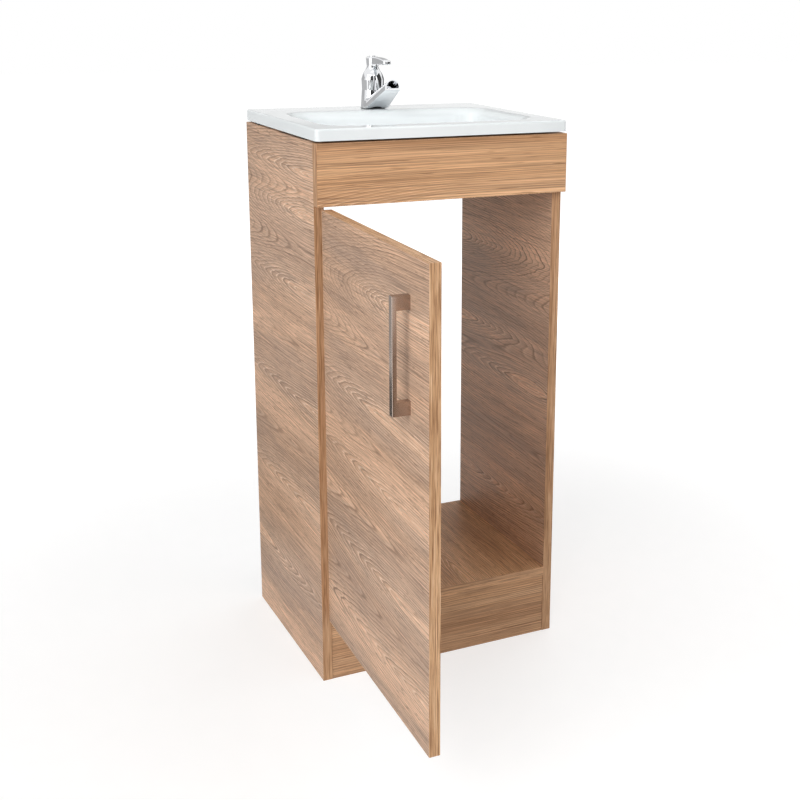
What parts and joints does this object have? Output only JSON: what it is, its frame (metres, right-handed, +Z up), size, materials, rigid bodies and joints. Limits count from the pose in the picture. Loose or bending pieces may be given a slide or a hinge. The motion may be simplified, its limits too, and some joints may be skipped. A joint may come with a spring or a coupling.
{
  "type": "vanity cabinet",
  "caption": "Slim wood-decor bathroom vanity cabinet with a ceramic slab basin, chrome lever tap, open-backed carcass and a side-hung door with a square bar handle.",
  "frame": {"origin": "on the floor under the middle of the plinth board", "axes": "+X to the right across the cabinet, +Y from the door to the wall, +Z up"},
  "size_m": [0.4255, 0.7261, 0.934],
  "materials": {
    "wood_decor": "matt woodgrain",
    "fascia_decor": "matt woodgrain",
    "edge_decor": "matt woodgrain edging",
    "glaze": "gloss glaze",
    "chrome": "mirror plating",
    "satin_nickel": "satin",
    "hinge_steel": "nickel plated",
    "fixing_steel": "zinc plated",
    "brass": "machined",
    "beech": "bare",
    "black_rubber": "matt",
    "clear_bumper": "clear soft"
  },
  "bodies": {
    "cabinet": {"side_panel_left": "wood_decor", "side_panel_right": "wood_decor", "base_shelf": "wood_decor", "front_rail": "wood_decor", "rear_rail": "wood_decor", "plinth": "wood_decor", "fascia_panel": "fascia_decor", "side_edge_bands": "edge_decor", "shelf_edge_band": "edge_decor", "fascia_edge_bands": "edge_decor", "basin": "glaze", "tap_body": "chrome", "tap_bonnet": "chrome", "waste_body": "chrome", "hinge_plate_lower": "hinge_steel", "hinge_plate_upper": "hinge_steel", "hinge_arm_lower": "hinge_steel", "hinge_arm_upper": "hinge_steel", "arm_pins": "hinge_steel", "cam_locks": "fixing_steel", "cam_bolts": "fixing_steel", "plinth_brackets": "fixing_steel", "plinth_bracket_screws": "fixing_steel", "fascia_screws": "fixing_steel", "hinge_plate_screws": "fixing_steel", "hinge_arm_screws": "fixing_steel", "tap_washer": "fixing_steel", "tap_shank": "brass", "tap_backnut": "brass", "waste_locknut": "brass", "dowels": "beech", "waste_gasket": "black_rubber", "waste_nut_gasket": "black_rubber", "tap_gasket": "black_rubber", "basin_pads": "black_rubber"},
    "inner_links": {"inner_link_lower": "hinge_steel", "inner_link_upper": "hinge_steel"},
    "door": {"door_panel": "wood_decor", "door_edge_bands": "edge_decor", "handle_screws": "fixing_steel", "door_bumpers": "clear_bumper", "door_handle": "satin_nickel", "hinge_cup_lower": "hinge_steel", "hinge_cup_upper": "hinge_steel", "cup_pins": "hinge_steel", "hinge_cup_screws": "fixing_steel"},
    "outer_links": {"outer_link_lower": "hinge_steel", "outer_link_upper": "hinge_steel"},
    "lever": {"tap_lever": "chrome", "tap_lever_cap": "chrome", "tap_lever_screw": "fixing_steel", "tap_spindle": "brass"},
    "plug": {"waste_plug": "chrome"}
  },
  "joints": [
    {"name": "link_swing", "type": "hinge", "parent": "cabinet", "child": "inner_links", "pos_m": [-0.16425, -0.01772, 0.42], "axis": [0, 0, 1], "range_deg": [-55.3, 2.1]},
    {"name": "door_swing", "type": "hinge", "parent": "inner_links", "child": "door", "pos_m": [-0.18011, -0.03124, 0.42], "axis": [0, 0, -1], "range_deg": [-146.89, 5.37]},
    {"name": "outer_link_swing", "type": "hinge", "parent": "door", "child": "outer_links", "pos_m": [-0.1778, -0.02741, 0.42], "axis": [0, 0, 1], "range_deg": [-135.4, 5.1]},
    {"name": "lever_turn", "type": "hinge", "parent": "cabinet", "child": "lever", "pos_m": [0, 0.267, 0.92], "axis": [0, 0, 1], "range_deg": [0, 90]},
    {"name": "plug_press", "type": "slide", "parent": "cabinet", "child": "plug", "axis": [0, 0, 1], "range_m": [-0.008, 0]}
  ],
  "couplings": [
    {"joint": "link_swing", "follows": "door_swing", "ratio": 0.37607},
    {"joint": "outer_link_swing", "follows": "door_swing", "ratio": 0.92071}
  ]
}
